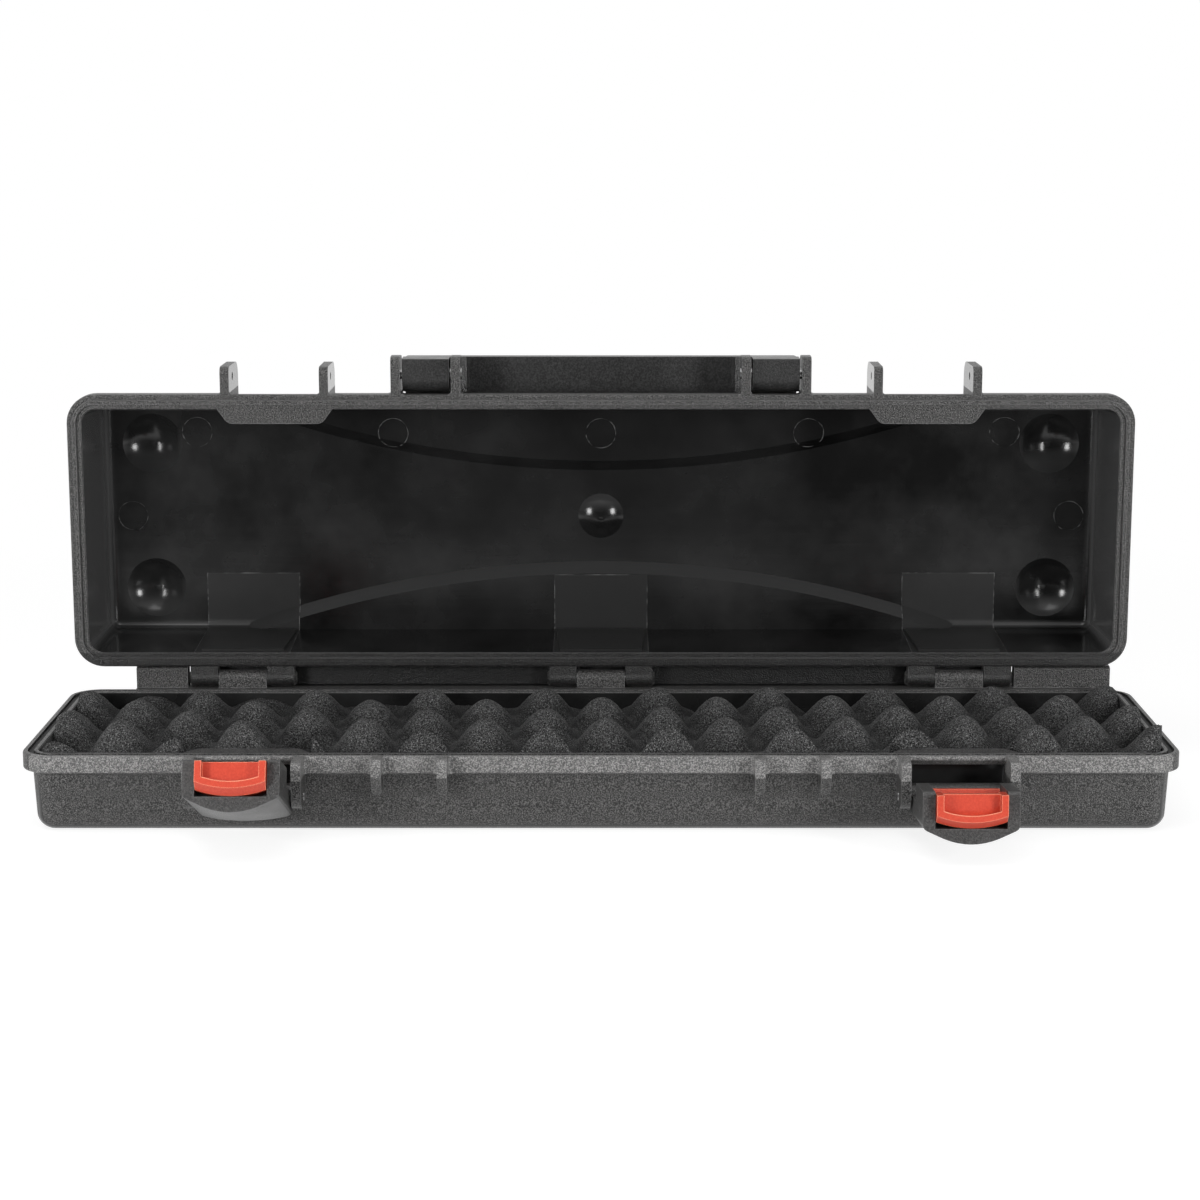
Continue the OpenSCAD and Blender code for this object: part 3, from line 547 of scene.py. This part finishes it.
def make_world():
    """White behind and above, dark towards the camera's side, as the mirror rays see it."""
    world = bpy.data.worlds.new("studio")
    world.use_nodes = True
    bpy.context.scene.world = world
    tree = Tree(world.node_tree)
    rays = tree.node("ShaderNodeLightPath").outputs
    way = tree.node("ShaderNodeTexCoord").outputs["Generated"]
    axes = axes_of(tree, way)
    mirrored = tree.math(
        "MAXIMUM",
        tree.steps(axes[1], -0.55, 0.1, 0.06, 1.0),
        tree.steps(axes[2], 0.3, 0.9, 0.0, 0.9),
    )
    strength = tree.mix(rays["Is Glossy Ray"], DAYLIGHT, mirrored)
    seen = tree.math("MAXIMUM", rays["Is Camera Ray"], rays["Is Transmission Ray"])
    strength = tree.mix(seen, strength, 1.0)
    back = tree.node("ShaderNodeBackground", {"Color": grey(1.0), "Strength": strength})
    tree.join("ShaderNodeOutputWorld", back)


def make_lamp(name, place, target, size, power):
    data = bpy.data.lights.new(name, "AREA")
    data.shape = "RECTANGLE"
    data.size, data.size_y = size
    data.energy = power
    lamp = bpy.data.objects.new(name, data)
    bpy.context.scene.collection.objects.link(lamp)
    lamp.location = place
    lamp.rotation_euler = (Vector(target) - Vector(place)).to_track_quat("-Z", "Y").to_euler()


def make_camera():
    data = bpy.data.cameras.new("camera")
    data.sensor_width = 36.0
    data.lens = CAMERA_LENS
    camera = bpy.data.objects.new("camera", data)
    bpy.context.scene.collection.objects.link(camera)
    camera.location = [coordinate * MM for coordinate in CAMERA_AT]
    camera.rotation_euler = (math.radians(90 - CAMERA_DOWN), 0, 0)
    bpy.context.scene.camera = camera


# ------------------------------------------------------------------ scene

make_camera()
make_world()
make_floor()
make_lamp("key_above", (-0.3, -0.35, 1.3), (0, 0, 0.05), (1.2, 0.7), 4.2)
for side in (-1, 1):
    make_lamp(
        "soft_side_" + ("left" if side < 0 else "right"),
        (0.5 * side, -0.5, 0.2), (-0.1 * side, 0.08, 0.09), (0.17, 0.22), 2.2,
    )

set_material("shallow_shell", shell_material("shell_black_shallow", base_masks))
set_material("deep_shell", shell_material("shell_black_deep", lid_masks))
# the rim tones are painted highlights along sharp edges
handle_look = plain_plastic("handle_black", grey(0.01), grey(0.05), 0.34, 0.1, rim=grey(0.12))
set_material("handle", handle_look)
lever_look = plain_plastic("latch_black", grey(0.015), grey(0.08, 0.02), 0.42, 0.14, rim=grey(0.12))
trigger_look = plain_plastic(
    "trigger_red", (0.58, 0.05, 0.022, 1), (0.68, 0.075, 0.035, 1), 0.34, 0.03,
    rim=(0.9, 0.38, 0.24, 1), **{"Coat Weight": 0.2, "Coat Roughness": 0.25},
)
seal_look = plain_plastic("seal_rubber", grey(0.008), grey(0.014), 0.7, 0.03)
steel_look = steel_material()
for side in ("left", "right"):
    set_material("latch_lever_" + side, lever_look)
    set_material("latch_trigger_" + side, trigger_look)
for name in nodes:
    if "pin" in name or "spring" in name:
        set_material(name, steel_look)
set_material("seal_ring", seal_look)
make_foam()

bpy.context.scene.view_settings.view_transform = "Standard"
